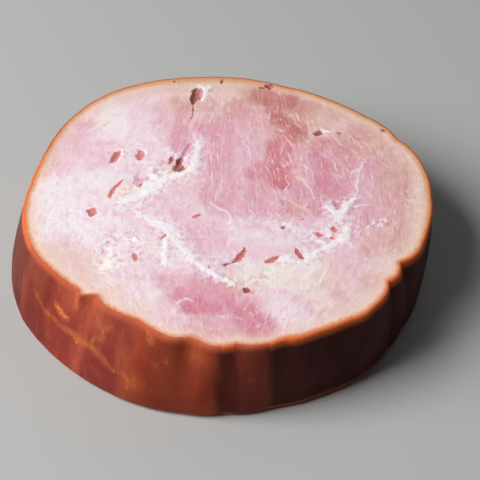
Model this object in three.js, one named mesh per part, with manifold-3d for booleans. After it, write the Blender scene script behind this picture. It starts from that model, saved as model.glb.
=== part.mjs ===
// A thick slice of boneless smoked ham, lying on the lower of its two cut faces.
// Millimetres, +Z up. The origin is on the surface that it lies on, under the middle of the slice.
import * as THREE from "three";
import { mergeVertices } from "three/addons/utils/BufferGeometryUtils.js";
import Module from "manifold-3d";

// Driving sizes of the slice
const thickness = 27;
const cutRadius = 58.7; // mean radius of the upper cut face
const baseRadius = 61; // mean radius at the base, as the ham swells downwards
const lean = [-3.4, 0.3]; // from the middle of the upper face to the middle of the base
const bulge = 0.9; // how far the skin stands out half way up
const cutEdge = 0.7; // rounding of the upper rim
const baseEdge = 2.2; // rounding where the skin turns under

// Slow waves of the two outlines: lobes around the slice, height and phase in degrees
const cutWaves = [
  { lobes: 1, height: 0.82, phase: 89 },
  { lobes: 2, height: 1.85, phase: -64 },
  { lobes: 3, height: 0.84, phase: 49 },
  { lobes: 4, height: 0.89, phase: 74 },
  { lobes: 5, height: 0.55, phase: -108 },
  { lobes: 6, height: 0.63, phase: 106 },
];
const baseWaves = [
  { lobes: 1, height: 0.78, phase: -162 },
  { lobes: 2, height: 1.52, phase: -57 },
  { lobes: 3, height: 0.86, phase: 10 },
  { lobes: 4, height: 0.55, phase: 101 },
  { lobes: 5, height: 0.22, phase: -155 },
  { lobes: 6, height: 0.41, phase: 88 },
];

// Folds of the browned skin: place in degrees from +X, depth at the rim, half width in degrees,
// sharpness of the crease, the share of the depth that is left at the base, and the power by
// which the depth fades down from the rim. A negative depth is a lobe that stands out.
const folds = [
  { at: -28, depth: 3.7, halfWidth: 4.4, sharpness: 1.2, foot: 0.25, fade: 2 },
  { at: -36.7, depth: 2.6, halfWidth: 3.4, sharpness: 1.2, foot: 0.3, fade: 2 },
  { at: -50.8, depth: -0.8, halfWidth: 3.2, sharpness: 2, foot: 0.3, fade: 2 },
  { at: -74.3, depth: 0.75, halfWidth: 3.1, sharpness: 2, foot: 0.4, fade: 2 },
  { at: -87.5, depth: 1.1, halfWidth: 3.1, sharpness: 2, foot: 0.4, fade: 2 },
  { at: -99.7, depth: 2, halfWidth: 4.1, sharpness: 2, foot: 0.1, fade: 2 },
  { at: -116.3, depth: 1.55, halfWidth: 5.8, sharpness: 2, foot: 0.05, fade: 2 },
  { at: -132.4, depth: 1.7, halfWidth: 2.5, sharpness: 1.3, foot: 0, fade: 8 },
  { at: -136.2, depth: -1.5, halfWidth: 1.4, sharpness: 2, foot: 0, fade: 8 },
  { at: 28.5, depth: 0.8, halfWidth: 3.4, sharpness: 2, foot: 0.5, fade: 2 },
  { at: 71, depth: 0.3, halfWidth: 3, sharpness: 2, foot: 0.6, fade: 2 },
];

// Seams of fat and sinew stand a little proud of the cut face, each along a path of [x, y] points
const seamHeight = 0.3;
const seams = [
  { halfWidth: 2.2, path: [[-9.5, 26], [-9.5, 15], [-18, 9], [-27, 1], [-37, -4]] },
  { halfWidth: 1.9, path: [[-23, -7], [-15, -15], [-9, -27], [-1, -33], [8, -36]] },
  { halfWidth: 2.4, path: [[36, -2], [32, -12], [22, -24], [8, -31]] },
];

// Leaner muscles sink a little as they dry: centre, reach along x and y
const sinkDepth = 0.45;
const reliefMargin = 0.08; // the relief fades out over this share of the radius at the rim
const muscles = [
  { centre: [15.5, 13], reach: [5, 13] },
  { centre: [29, 10], reach: [7, 14] },
  { centre: [-3, 13], reach: [8, 17] },
  { centre: [20, -2], reach: [6, 7] },
  { centre: [13.5, 46], reach: [7, 6] },
  { centre: [-4, -42], reach: [13, 7] },
  { centre: [9, -50], reach: [6, 4] },
  { centre: [40, -9], reach: [6, 5] },
];

// Holes and slits between the muscles: path across the cut face, width and depth
const hollows = [
  { path: [[-10, 51.8], [-10.2, 48.6], [-10.9, 45]], width: 3, depth: 0.8 },
  { path: [[-8.7, 51.8], [-8.5, 49.4], [-9.3, 46.8]], width: 1.3, depth: 0.3 },
  { path: [[-11.2, 25.6], [-12.4, 22.2], [-13.9, 18.6]], width: 1.8, depth: 0.35 },
  { path: [[-13.9, 19.2], [-14.6, 17.4], [-15.1, 15.8]], width: 2.2, depth: 0.7 },
  { path: [[-14.9, 15.6], [-14.4, 12.3]], width: 2.8, depth: 0.4 },
  { path: [[-17.1, 19], [-17.4, 15.8]], width: 1.6, depth: 0.45 },
  { path: [[-32.9, 21.5], [-34, 19], [-35.4, 16.8]], width: 2.2, depth: 0.45 },
  { path: [[-26.9, 22.4], [-26.2, 17.9]], width: 2.4, depth: 0.35 },
  { path: [[-40.5, -5.1], [-38.4, -5.7]], width: 3, depth: 0.35 },
  { path: [[-25.8, 7.2], [-25.6, 6.2]], width: 1.2, depth: 0.25 },
  { path: [[26.1, 30.3], [28.6, 29.9]], width: 2.3, depth: 0.4 },
  { path: [[12.7, 52.4], [13.1, 54.2]], width: 2.2, depth: 0.9 },
  { path: [[9.8, 52.6], [11.4, 52.4]], width: 1.1, depth: 0.3 },
  { path: [[-2.6, 54.4], [-2, 56.2]], width: 1, depth: 0.5 },
  { path: [[-17.4, 55], [-16.9, 55.8]], width: 1, depth: 0.5 },
  { path: [[47.4, 32.3], [47.9, 31]], width: 1.2, depth: 0.5 },
  { path: [[1.6, -26.2], [3.9, -23.3], [5, -20]], width: 1.6, depth: 0.35 },
  { path: [[10.2, -25.7], [12.8, -25], [14.4, -22.9]], width: 1.5, depth: 0.35 },
  { path: [[19.2, -20.4], [20, -22.6], [21.6, -24.4]], width: 1.1, depth: 0.3 },
  { path: [[4.4, -36.3], [6.3, -37.6]], width: 1.8, depth: 0.35 },
  { path: [[15.6, -11], [15.9, -12.4]], width: 1.1, depth: 0.3 },
  { path: [[31.3, -0.6], [32.2, -4.2]], width: 1.6, depth: 0.3 },
  { path: [[30.1, -12], [30.9, -13.6]], width: 1.1, depth: 0.25 },
];
const hollowWobble = 0.14; // unevenness of a hollow's wall, as a share of its width
const wobbleLobes = 3;
const wobbleTwist = 5; // radians that the wobble turns from one end to the other
const wobbleShift = 2.3; // radians between one hollow's wobble and the next one's
const hollowRise = 0.15; // its widest level lies this far over the cut face
const hollowBluntness = 2.4; // how blunt its ends are: 2 gives an oval

// Fineness of the faceted surface
const wallSides = 200;
const wallLevels = 5;
const edgeSteps = 3;
const cutRings = 23;
const baseRings = 3;
const sidesFalloff = 1.15; // rings further in have fewer sides, by this power of their radius
const hollowSides = 8;
const hollowStepsPerMm = 1.5;
const hollowFewestSteps = 5;
const hollowMostSteps = 11;

const { clamp, degToRad, lerp, smoothstep } = THREE.MathUtils;

function waveHeight(waves, angle) {
  return waves.reduce(
    (sum, wave) => sum + wave.height * Math.cos(wave.lobes * angle - degToRad(wave.phase)),
    0,
  );
}

// How far the folds pull the skin in, at an angle and a share of the height.
function foldDepth(angle, up) {
  return folds.reduce((sum, fold) => {
    const turn = angle - degToRad(fold.at);
    const away = Math.abs(Math.atan2(Math.sin(turn), Math.cos(turn)));
    const across = Math.exp(-Math.pow(away / degToRad(fold.halfWidth), fold.sharpness));
    return sum + fold.depth * across * lerp(fold.foot, 1, Math.pow(up, fold.fade));
  }, 0);
}

// The outline at a share of the height, 0 at the base and 1 at the cut face, drawn in by an inset.
function outlinePoint(angle, up, inset = 0) {
  const atBase = baseRadius + waveHeight(baseWaves, angle);
  const atCut = cutRadius + waveHeight(cutWaves, angle);
  const swell = bulge * Math.sin(Math.PI * up);
  const radius = lerp(atBase, atCut, smoothstep(up, -0.1, 1.1)) + swell - foldDepth(angle, up) - inset;
  const out = 1 - up;
  return [
    radius * Math.cos(angle) + out * lean[0],
    radius * Math.sin(angle) + out * lean[1],
  ];
}

function distanceToPath(x, y, path) {
  let nearest = Infinity;
  for (let i = 0; i + 1 < path.length; i++) {
    const [ax, ay] = path[i];
    const [dx, dy] = [path[i + 1][0] - ax, path[i + 1][1] - ay];
    const along = clamp(((x - ax) * dx + (y - ay) * dy) / (dx * dx + dy * dy), 0, 1);
    nearest = Math.min(nearest, Math.hypot(x - ax - along * dx, y - ay - along * dy));
  }
  return nearest;
}

// Height of the cut face over its mean level: proud seams and sunken muscles.
function relief(x, y) {
  const proud = seams.reduce((most, { halfWidth, path }) => {
    const away = distanceToPath(x, y, path) / halfWidth;
    return Math.max(most, Math.exp(-away * away));
  }, 0);
  const sunken = muscles.reduce((most, { centre, reach }) => {
    const away = Math.hypot((x - centre[0]) / reach[0], (y - centre[1]) / reach[1]);
    return Math.max(most, 1 - smoothstep(away, 0.3, 1.3));
  }, 0);
  return seamHeight * proud - sinkDepth * sunken * (1 - proud);
}

// A closed skin of rings, each joined to the next whatever their numbers of sides.
class Skin {
  constructor() {
    this.positions = [];
    this.triangles = [];
    this.last = null;
  }

  add(sides, pointAt) {
    const ring = { first: this.positions.length / 3, sides };
    for (let i = 0; i < sides; i++) this.positions.push(...pointAt((2 * Math.PI * i) / sides));
    if (this.last) this.join(this.last, ring);
    this.last = ring;
  }

  join(back, front) {
    let [i, j] = [0, 0];
    while (i < back.sides || j < front.sides) {
      const a = back.first + (i % back.sides);
      const b = front.first + (j % front.sides);
      const stepBack = (i + 1) / back.sides <= (j + 1) / front.sides;
      if (stepBack) i++;
      else j++;
      const next = stepBack ? back.first + (i % back.sides) : front.first + (j % front.sides);
      this.triangles.push(a, next, b);
    }
  }

  geometry() {
    const made = new THREE.BufferGeometry();
    made.setAttribute("position", new THREE.Float32BufferAttribute(this.positions, 3));
    made.setIndex(this.triangles);
    return made;
  }
}

// Levels up the skin with the inset of each: the rounded foot, the wall and the rounded rim.
function wallStations() {
  const stations = [];
  for (let i = 0; i < edgeSteps; i++) {
    const turn = ((Math.PI / 2) * i) / edgeSteps;
    stations.push({ z: baseEdge * (1 - Math.cos(turn)), inset: baseEdge * (1 - Math.sin(turn)) });
  }
  for (let i = 0; i <= wallLevels; i++)
    stations.push({ z: lerp(baseEdge, thickness - cutEdge, i / wallLevels), inset: 0 });
  for (let i = 1; i <= edgeSteps; i++) {
    const turn = ((Math.PI / 2) * i) / edgeSteps;
    stations.push({
      z: thickness - cutEdge * (1 - Math.sin(turn)),
      inset: cutEdge * (1 - Math.cos(turn)),
    });
  }
  return stations;
}

// From the middle of the base out to its edge, up the skin, and in over the cut face.
function sliceGeometry() {
  const skin = new Skin();
  const sidesAt = (share) => Math.ceil(wallSides * Math.pow(share, sidesFalloff));

  skin.add(1, () => [...lean, 0]);
  for (let i = 1; i <= baseRings; i++) {
    const share = i / (baseRings + 1);
    skin.add(sidesAt(share / 2), (angle) => {
      const [x, y] = outlinePoint(angle, 0, baseEdge);
      return [lerp(lean[0], x, share), lerp(lean[1], y, share), 0];
    });
  }
  for (const { z, inset } of wallStations())
    skin.add(wallSides, (angle) => [...outlinePoint(angle, z / thickness, inset), z]);
  for (let i = cutRings; i > 0; i--) {
    const share = i / (cutRings + 1);
    skin.add(sidesAt(share), (angle) => {
      const [x, y] = outlinePoint(angle, 1, cutEdge).map((v) => v * share);
      return [x, y, thickness + relief(x, y) * smoothstep(1 - share, 0, reliefMargin)];
    });
  }
  skin.add(1, () => [0, 0, thickness + relief(0, 0)]);
  return skin.geometry();
}

// A spindle along a path on the cut face, whose lower half is the hollow.
function hollowGeometry({ path, width, depth }, number) {
  const line = new THREE.CatmullRomCurve3(
    path.map(([x, y]) => new THREE.Vector3(x, y, thickness + relief(x, y) + hollowRise)),
  );
  const stepsAlong = Math.round(line.getLength() * hollowStepsPerMm);
  const steps = clamp(stepsAlong, hollowFewestSteps, hollowMostSteps);
  const skin = new Skin();
  skin.add(1, () => line.getPointAt(0).toArray());
  for (let i = 1; i < steps; i++) {
    const along = i / steps;
    const middle = line.getPointAt(along);
    const tangent = line.getTangentAt(along);
    const across = new THREE.Vector3(-tangent.y, tangent.x, 0).normalize();
    const taper = Math.sqrt(1 - Math.pow(Math.abs(2 * along - 1), hollowBluntness));
    const phase = wobbleTwist * along + wobbleShift * number;
    skin.add(hollowSides, (turn) => {
      const reach = taper * (1 + hollowWobble * Math.sin(wobbleLobes * turn + phase));
      const point = middle.clone().addScaledVector(across, (width / 2) * reach * Math.cos(turn));
      point.z += (depth + hollowRise) * reach * Math.sin(turn);
      return point.toArray();
    });
  }
  skin.add(1, () => line.getPointAt(1).toArray());
  return skin.geometry();
}

const wasm = await Module();
wasm.setup();

function solidOf(geometry) {
  const merged = mergeVertices(geometry, 1e-4);
  return new wasm.Manifold(
    new wasm.Mesh({
      numProp: 3,
      vertProperties: merged.attributes.position.array,
      triVerts: new Uint32Array(merged.index.array),
    }),
  );
}

function geometryOf(solid) {
  const { vertProperties, triVerts } = solid.getMesh();
  const made = new THREE.BufferGeometry();
  made.setAttribute("position", new THREE.BufferAttribute(vertProperties, 3));
  made.setIndex(new THREE.BufferAttribute(triVerts, 1));
  made.computeVertexNormals();
  return made;
}

// Moves the slice so that the middle of its box, at the base, is the origin.
function centreOnBase(geometry) {
  geometry.computeBoundingBox();
  const { min, max } = geometry.boundingBox;
  return geometry.translate(-(min.x + max.x) / 2, -(min.y + max.y) / 2, -min.z);
}

const whole = hollows.reduce(
  (solid, hollow, number) => solid.subtract(solidOf(hollowGeometry(hollow, number))),
  solidOf(sliceGeometry()),
);

const meat = new THREE.MeshStandardMaterial({ color: 0xe0a9a4, roughness: 0.45, metalness: 0 });
const slice = new THREE.Mesh(centreOnBase(geometryOf(whole)), meat);
slice.name = "ham_slice";

const ham = new THREE.Group();
ham.name = "smoked_ham";
ham.add(slice);

export default ham;
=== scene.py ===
from math import cos, dist, pi, radians, sin
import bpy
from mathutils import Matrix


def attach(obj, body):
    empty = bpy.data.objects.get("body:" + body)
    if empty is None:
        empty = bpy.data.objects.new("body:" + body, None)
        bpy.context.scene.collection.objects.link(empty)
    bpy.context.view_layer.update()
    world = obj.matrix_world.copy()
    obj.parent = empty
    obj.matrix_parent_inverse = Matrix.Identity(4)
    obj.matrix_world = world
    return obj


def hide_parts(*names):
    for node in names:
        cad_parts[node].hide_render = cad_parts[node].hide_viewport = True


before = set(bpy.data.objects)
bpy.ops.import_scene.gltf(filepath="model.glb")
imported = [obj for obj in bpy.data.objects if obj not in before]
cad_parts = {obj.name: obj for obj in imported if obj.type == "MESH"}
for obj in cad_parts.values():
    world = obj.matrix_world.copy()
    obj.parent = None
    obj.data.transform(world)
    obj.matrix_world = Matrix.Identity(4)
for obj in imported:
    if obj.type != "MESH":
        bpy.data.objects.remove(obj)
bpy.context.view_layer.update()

from types import SimpleNamespace

import bpy
import numpy as np
from mathutils import Vector

# A thick slice of boneless smoked ham. Lengths are millimetres, measured from under the middle of
# the upper cut face, until the mesh is made. Angles are degrees from +X round the slice.
MM = 0.001
CUT_CENTRE = (2.43, 0.01)  # the middle of the cut face, in the frame

# Form of the slice
THICKNESS = 27.0
CUT_RADIUS = 58.7
BASE_RADIUS = 61.0
LEAN = (-3.4, 0.3)  # how far the base lies off to the side
BULGE = 0.9
CUT_EDGE = 0.7
BASE_EDGE = 2.2
CUT_WAVES = [(1, 0.82, 89), (2, 1.85, -64), (3, 0.84, 49), (4, 0.89, 74), (5, 0.55, -108), (6, 0.63, 106)]
BASE_WAVES = [(1, 0.78, -162), (2, 1.52, -57), (3, 0.86, 10), (4, 0.55, 101), (5, 0.22, -155), (6, 0.41, 88)]

# Folds of the skin: angle, depth at the rim, half width, sharpness, share of the depth at the base,
# and how quickly the depth changes down from the rim. A negative depth is a lobe that stands out.
FOLDS = [
    (-28, 3.7, 4.4, 1.2, 0.25, 2),
    (-36.7, 2.6, 3.4, 1.2, 0.3, 2),
    (-50.8, -0.8, 3.2, 2, 0.3, 2),
    (-74.3, 0.75, 3.1, 2, 0.4, 2),
    (-87.5, 1.1, 3.1, 2, 0.4, 2),
    (-99.7, 2, 4.1, 2, 0.1, 2),
    (-116.3, 1.55, 5.8, 2, 0.05, 2),
    (-132.4, 1.7, 2.5, 1.3, 0, 8),
    (-136.2, -1.5, 1.4, 2, 0, 8),
    (28.5, 0.8, 3.4, 2, 0.5, 2),
    (71, 0.3, 3, 2, 0.6, 2),
]

# Relief of the skin: flutes down it, and lumps that grow towards the cut rim
FLUTE_SIZE = 7.5
FLUTE_HEIGHT = 0.22
LUMP_SIZE = 4.0
LUMP_HEIGHTS = (0.1, 0.25)

# Relief of the cut face: what rises and dips, its swell, and its grit away from and near the fat
FAT_RISE = 0.08
THREAD_RISE = 0.06
LEAN_DIP = 0.25
SWELL = 0.12
GRIT = (0.04, 0.16)
RIM_FLAT = 2.5  # the relief fades out this near the rim

# Course of the fibres: how much they bend round with the rim, and sway
FIBRE_BEND = 0.8
FIBRE_REACH = 30.0
FIBRE_SWAY = 2.5
FIBRE_FAN = 0.12

# Seams of fat and sinew on the cut face: (x, y, half width) along each, and how creamy each is
SEAMS = [
    ([(-9.6, 27, 0.6), (-9.2, 22, 0.9), (-9.8, 16, 1.3), (-12.5, 11.6, 1.1), (-18, 9.5, 1.7),
      (-22, 7, 2.3), (-25, 3, 2), (-29, 0.5, 1.4), (-31.5, -2, 0.9)], 0.45),
    ([(-23.5, 13.5, 0.7), (-21.5, 10, 1.3)], 0.1),
    ([(-27, -5, 0.5), (-22, -8.6, 1.2), (-18, -12, 1.8), (-15.8, -14.5, 1.7), (-14, -18.5, 1.1),
      (-11, -22.5, 1.5), (-9.5, -25, 0.9)], 0.45),
    ([(-17.6, -16, 0.7), (-17.4, -20, 0.8), (-17.6, -26, 1)], 0.6),
    ([(-9.5, -25.5, 0.5), (-5, -29.6, 0.9), (-1, -32.6, 0.9), (2, -34.5, 0.5)], 0.1),
    ([(29.5, -2.6, 1.2), (30.5, -4.6, 1.3), (32, -7, 1.5), (31.8, -9, 0.9)], 0.15),
    ([(37.5, 0.6, 0.8), (35, -1.6, 1.4), (33.4, -5, 1.4)], 0.35),
    ([(34.6, -11, 0.8), (33.6, -14.5, 1.4), (32.5, -17.3, 1.3), (29, -19.2, 1), (25.5, -21.8, 0.8),
      (22, -25.5, 0.8)], 0.6),
    ([(28.4, -12.6, 0.7), (29.2, -15, 0.9)], 0.05),
    ([(25.4, -16.6, 0.6), (27.2, -17.6, 0.8)], 0.1),
    ([(-12.8, 18, 0.7), (-12.2, 20.4, 0.9)], 0),
    ([(14.6, -25.4, 0.5), (16.6, -24.3, 1.2), (20, -25.6, 0.8)], 0.05),
    ([(22, -21.4, 0.7), (23, -22.6, 0.8)], 0),
    ([(-35.2, -28.5, 0.6), (-33, -26, 1.5), (-31.5, -24.6, 0.8)], 0.8),
    ([(-33.5, -23.5, 0.6), (-32.5, -20, 1)], 0.9),
    ([(-26.3, -16.2, 0.6), (-26, -17.4, 0.9)], 0.5),
    ([(-9.4, 53.8, 0.6), (-7.2, 52, 1.1), (-6.9, 49, 0.8), (-7.6, 46.5, 0.5)], 0.2),
    ([(-32.4, 22.2, 0.4), (-31.9, 19, 0.5)], 0.8),
    ([(-25.4, 22.4, 0.4), (-24.3, 20.6, 0.5)], 0.8),
    ([(28.6, 30.8, 0.6), (30.8, 30.8, 0.5)], 0.6),
]

# Thin pale threads and membranes: (x, y, half width) along each, and brightness
THREADS = [
    ([(40.1, 17.5, 0.24), (40.4, 15.4, 0.56), (39.4, 13, 0.4), (38.6, 10, 0.4), (38.1, 7, 0.48),
      (38.6, 4, 0.32), (37.2, 1, 0.32)], 0.9),
    ([(40, 14.3, 0.32), (37.4, 12.4, 0.4), (36.2, 10, 0.32)], 0.8),
    ([(29.6, 21.8, 0.4), (32, 18.6, 0.64), (34, 16.3, 0.56), (35.4, 13.6, 0.4)], 0.45),
    ([(20.2, 10.4, 0.4), (23, 8, 0.56), (24.6, 4.4, 0.56), (25.2, 0.5, 0.48)], 0.65),
    ([(16.8, 1.2, 0.4), (19, -1, 0.56), (22, -3, 0.64), (24.6, -5.2, 0.4)], 0.6),
    ([(18.4, 8.2, 0.28), (17.2, 5.6, 0.32), (16.8, 3.8, 0.28)], 0.9),
    ([(-5, -0.8, 0.32), (-3, -3, 0.56), (-0.8, -4.6, 0.48), (0.7, -6.6, 0.48), (1.3, -8.4, 0.56),
      (0.4, -11.2, 0.32)], 0.85),
    ([(4.4, 26.4, 0.32), (5.2, 24.6, 0.4), (6.4, 21.5, 0.32), (6.8, 18.5, 0.24)], 0.7),
    ([(-5.6, 25.5, 0.28), (-5.4, 21, 0.32), (-4.9, 17.5, 0.24)], 0.7),
    ([(20.7, 40, 0.32), (21.2, 38, 0.56), (21.9, 36, 0.32)], 0.9),
    ([(24.6, 36, 0.32), (24.6, 33.5, 0.4), (24.3, 30.8, 0.28)], 0.75),
    ([(15.8, 32.2, 0.4), (16.8, 31, 0.48)], 0.7),
    ([(9.2, 36.4, 0.32), (10.2, 35, 0.48), (10.6, 33.4, 0.32)], 0.6),
    ([(12.7, 39.8, 0.28), (12.8, 36.8, 0.32)], 0.75),
    ([(6.9, 35.6, 0.28), (6.8, 32, 0.32), (6.4, 29.5, 0.24)], 0.6),
    ([(21.7, 20.4, 0.28), (22.1, 17.4, 0.48), (21.7, 15.2, 0.32)], 0.75),
    ([(23.2, 15.8, 0.32), (24.1, 14.2, 0.4)], 0.8),
    ([(30.5, 24.4, 0.28), (31, 21.8, 0.32)], 0.6),
    ([(17.8, 22, 0.24), (18.8, 18.8, 0.32), (18.6, 16, 0.28)], 0.75),
    ([(16.6, 25, 0.24), (16.4, 21.5, 0.32)], 0.6),
    ([(20.4, 25, 0.24), (20, 21.4, 0.32), (20.7, 18.5, 0.24)], 0.6),
    ([(13.2, 21, 0.24), (12.2, 17.6, 0.32), (11.6, 14, 0.24)], 0.5),
    ([(35.7, 37.5, 0.32), (36.2, 34.8, 0.4), (35.8, 31.6, 0.32)], 0.7),
    ([(0.2, 43, 0.24), (-0.1, 40.4, 0.4)], 0.6),
    ([(-10.4, 30.5, 0.28), (-10.2, 27.6, 0.4)], 0.8),
    ([(-11.3, 34.6, 0.28), (-11.2, 31, 0.32)], 0.6),
    ([(38, -3.2, 0.32), (39.8, -1.9, 0.48), (43.2, -2.5, 0.32)], 0.75),
    ([(28.7, 2, 0.32), (30.4, -0.4, 0.4)], 0.6),
    ([(28.7, -24.2, 0.32), (28.1, -28, 0.4), (26.6, -32.2, 0.4), (25.4, -36.5, 0.32)], 0.85),
    ([(24.8, -27, 0.28), (22.6, -33, 0.4), (21.8, -38, 0.24)], 0.45),
    ([(32.5, -29.4, 0.4), (36.2, -31.2, 0.56)], 0.45),
    ([(42.3, -14.2, 0.32), (42.8, -16.6, 0.32)], 0.5),
    ([(-13.4, -41.8, 0.32), (-11.2, -40.2, 0.48), (-9, -41.2, 0.32)], 0.95),
    ([(7.2, -39, 0.28), (6.6, -42, 0.4), (4.4, -44.8, 0.32)], 0.6),
    ([(-2.2, -46.6, 0.56), (-0.6, -47.4, 0.64)], 0.6),
    ([(2.7, -46.8, 0.56), (4.3, -47.4, 0.56)], 0.6),
    ([(-26, -37.5, 0.32), (-26.2, -42, 0.4)], 0.6),
    ([(-18.6, -50.4, 0.56), (-18.2, -49, 0.56)], 0.7),
    ([(-11.4, -0.6, 0.28), (-12.5, -4, 0.32)], 0.55),
    ([(6.8, -3.8, 0.32), (6.8, -5.2, 0.32)], 0.8),
    ([(10.6, -1.6, 0.4), (12.4, -4, 0.64)], 0.35),
    ([(15, -6, 0.4), (15.6, -8.2, 0.4)], 0.75),
    ([(16.6, -9.6, 0.4), (17.8, -10.6, 0.48), (18.6, -12.6, 0.4)], 0.7),
    ([(0.2, -17.6, 0.32), (0.5, -19.2, 0.32)], 0.75),
    ([(2.1, -21.2, 0.4), (2.5, -22.4, 0.4)], 0.7),
    ([(-4, -27.4, 0.48), (-3, -28.6, 0.48)], 0.7),
    ([(19.8, -44, 0.4), (22.5, -46.2, 0.48), (25, -45, 0.4)], 0.35),
    ([(-53.6, 22, 0.4), (-52.4, 24.4, 0.4)], 0.7),
    ([(-50.8, 21, 0.32), (-49.4, 22, 0.32), (-47.8, 20.6, 0.32)], 0.5),
    ([(-54, 14.8, 0.32), (-52.4, 14.2, 0.4)], 0.7),
    ([(-41.8, 40, 0.32), (-41.2, 37.6, 0.48)], 0.6),
    ([(-46.4, 8.6, 0.4), (-44.8, 7.4, 0.4)], 0.6),
    ([(-17.6, 22, 0.24), (-15.6, 19.6, 0.4)], 0.7),
    ([(52.9, 3.8, 0.32), (53.4, 3.2, 0.32)], 0.8),
    ([(56, 11, 0.4), (56.6, 4, 0.48), (56.2, -3, 0.4)], 0.45),
]

# Masses of meat: (x, y, half width) along each, and strength. Lean ones are deep rose.
LEAN_MEAT = [
    ([(12, 20, 20), (16, 10, 20)], 0.32),
    ([(-4.5, 35, 4.5), (1, 29, 5), (-2.5, 22, 6), (-3, 12, 6), (-2, 2, 6)], 0.5),
    ([(-6, 33.5, 3.6), (-5.5, 28, 3)], 0.62),
    ([(-4.5, 9, 3.4), (-2.5, 2, 4.6), (-1, 0, 4)], 0.5),
    ([(1, -4, 3.6), (10, -5, 4.6), (18, -6, 4)], 0.42),
    ([(8, 12, 4), (9, 2, 5)], 0.52),
    ([(19.5, 30.5, 5.4), (17, 25, 5.4), (15.8, 17, 5.6), (14.8, 11, 6)], 0.84),
    ([(15.2, 12.5, 4.8), (15.6, 8.8, 4.2)], 1.05),
    ([(20.5, 7.5, 3), (22.4, 1.5, 3.8), (21.5, -1, 2.6)], 0.66),
    ([(16.2, -1.6, 3), (20, -4, 3.8)], 0.62),
    ([(29, 25, 4.5), (29.5, 17, 6), (29.5, 8, 5.5), (28.5, 2, 2.5)], 0.72),
    ([(23.5, 24, 3), (23.5, 8, 3)], 0.5),
    ([(4, 38, 5), (11, 36, 7), (18, 38, 6), (26, 43, 4)], 0.5),
    ([(34.5, 22, 4), (34.5, 13, 4), (33.5, 2, 4)], 0.68),
    ([(25, 3, 3.5), (26.5, -3.4, 2.6)], 0.62),
    ([(-8, -34.5, 4), (1, -35, 4)], 0.6),
    ([(-7, -50.5, 4), (1, -52, 3)], 0.45),
    ([(50, 14, 5), (51, 2, 3)], 0.42),
    ([(49, -4, 4), (47, -17, 5), (42, -20, 4)], 0.42),
    ([(-18, -33, 3.5), (-9, -32, 3.5)], 0.32),
    ([(35, -4, 2.5)], 0.4),
    ([(27, -17, 3.5)], 0.4),
    ([(9.5, 13, 5)], 0.75),
    ([(34, 39, 4)], 0.3),
    ([(41, -34, 4)], 0.3),
    ([(3, 37, 4), (3, 44, 4)], 0.5),
    ([(41, 27, 8), (44, 18, 8), (43, 5, 9), (42, -6, 7)], 0.48),
    ([(42, -9, 6), (40, -15, 4)], 0.34),
    ([(35, -26, 6), (30, -34, 6)], 0.18),
    ([(-11, -38, 5), (-5, -39.5, 5.5), (1, -41, 5)], 0.66),
    ([(-9, -42.5, 4), (-3, -43.5, 4.5)], 0.84),
    ([(6, -44, 4), (8, -49.5, 5.4)], 0.82),
    ([(-7, -48.5, 3), (2, -49, 3)], 0.4),
    ([(10.5, 48.5, 5.5), (18.5, 46.5, 5.5)], 0.86),
    ([(-6, 44, 4)], 0.35),
    ([(15, 40, 4), (17, 35.5, 4.4), (18.5, 30, 5)], 0.95),
    ([(-14, 44, 3), (-13.5, 32, 4), (-15.5, 24, 3)], 0.5),
    ([(-19.5, 40, 4), (-19, 36, 4)], 0.3),
    ([(-49, 28.5, 4), (-46.5, 24, 4)], 0.26),
    ([(-44.5, 34.5, 3), (-44, 31, 3)], 0.3),
    ([(-52, 20, 5), (-54, 11, 4)], 0.1),
    ([(-40, 24, 5), (-32, 14, 6)], 0.06),
    ([(-17, 6, 4.5), (-15, -3, 6)], 0.16),
    ([(-7, -13, 5), (-3, -22, 5), (2, -28, 4)], 0.25),
    ([(22, -42, 4), (24, -43, 4)], 0.22),
    ([(-30, -30, 3), (-24, -34, 3)], 0.18),
]
# Pale masses; those on the left, away from the back, are partly pale meat and partly painted sheen of the
# window light
PALE_MEAT_AND_PAINTED_SHEEN = [
    ([(-51, 3, 6), (-45, -6, 9), (-40, -12, 8)], 0.95),
    ([(-54, -4, 3), (-51, -14, 4)], 0.6),
    ([(-36, 41, 4), (-35, 32, 5.5)], 0.8),
    ([(-28, 30, 6), (-25, 24, 5)], 0.5),
    ([(-43, 8, 6), (-35, 8, 6)], 0.8),
    ([(-33, -15, 9), (-24, -20, 8)], 0.56),
    ([(-36, -28, 5), (-28, -30, 6), (-22, -38, 5)], 0.55),
    ([(-21, -10, 5)], 0.4),
    ([(5, -13, 6), (18, -14, 5)], 0.46),
    ([(6, -30, 5), (15, -31, 6), (22, -30, 5)], 0.75),
    ([(19, -38, 6), (17, -46, 6)], 0.5),
    ([(-30, 17, 6), (-22, 19, 5)], 0.62),
    ([(-36, -1, 4.5), (-28, -2, 4)], 0.6),
    ([(-22, 21, 4), (-20, 12, 5), (-17, 2, 5)], 0.32),
    ([(-14, -26, 3.5), (3, -26.5, 4)], 0.55),
    ([(26, -42, 4)], 0.4),
    ([(28, -12, 4)], 0.4),
    ([(40, 15, 2), (38.5, 6, 2)], 0.15),
]
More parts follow.
